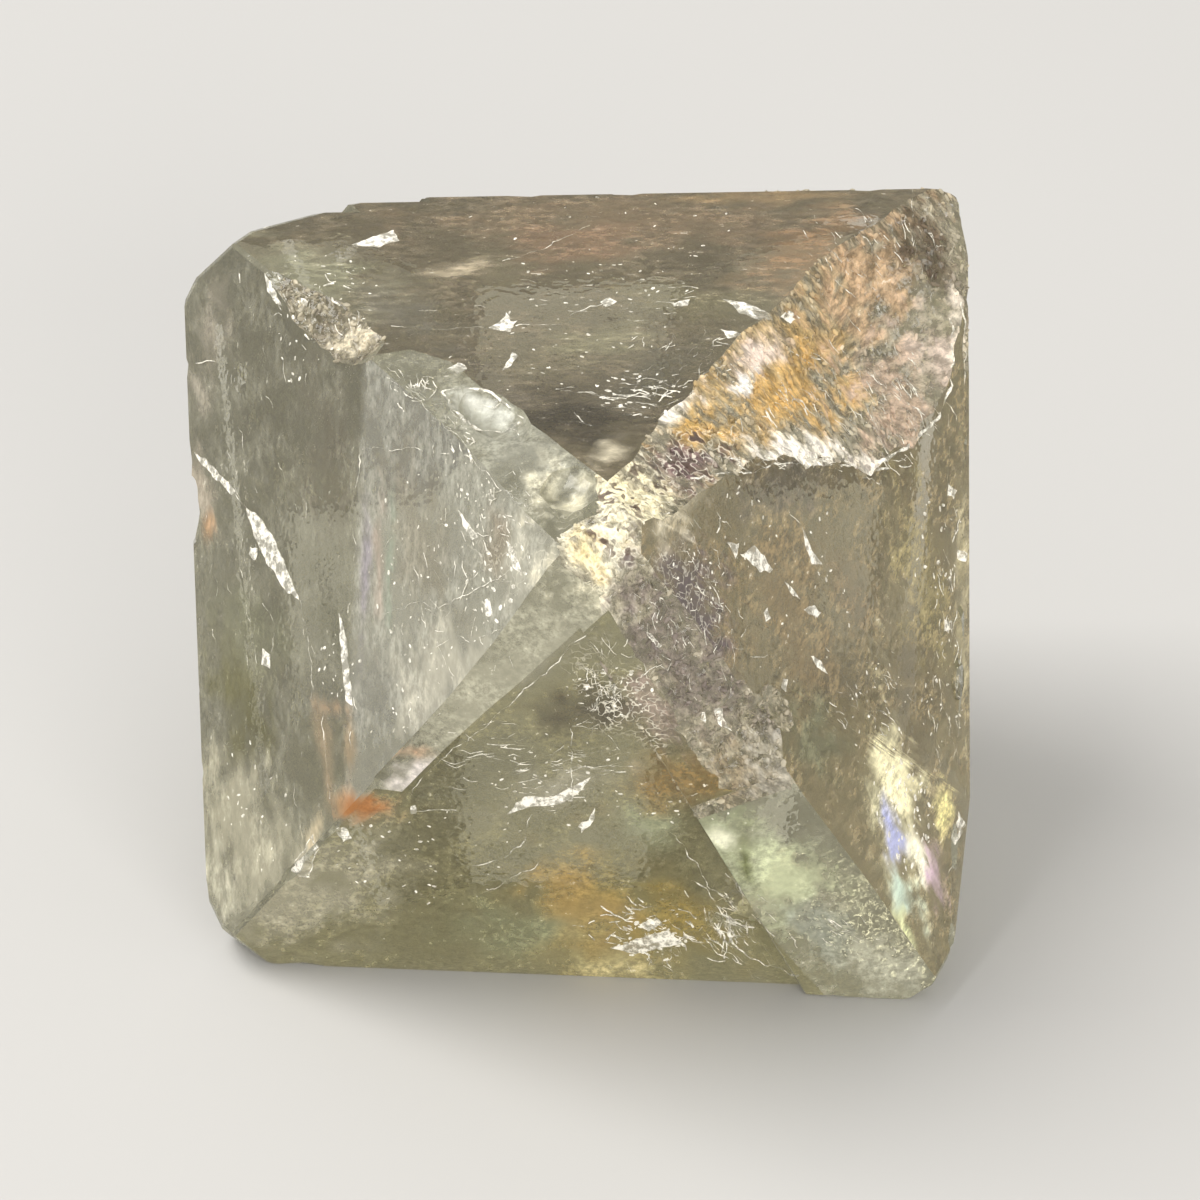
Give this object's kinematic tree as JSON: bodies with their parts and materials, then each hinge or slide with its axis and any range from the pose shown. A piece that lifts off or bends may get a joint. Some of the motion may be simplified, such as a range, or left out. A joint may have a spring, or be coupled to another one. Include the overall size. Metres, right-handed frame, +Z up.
{
  "type": "fluorite octahedron",
  "caption": "Natural octahedral fluorite crystal, clear pale green, with a rough broken ridge, chipped edges and rust-brown stains; stands on a flat face.",
  "frame": {"origin": "middle of the triangular face that the crystal rests on", "axes": "+Z up, square to the resting face; -Y towards the worn nose corner that the four front faces share; +X to the right seen from there"},
  "size_m": [0.0323, 0.0332, 0.0261],
  "materials": {
    "fluorite": "clear, pale grey-green, flat glassy cleavage faces with hazy and rust-stained breaks"
  },
  "bodies": {
    "root": {"fluorite_crystal": "fluorite"}
  },
  "joints": []
}
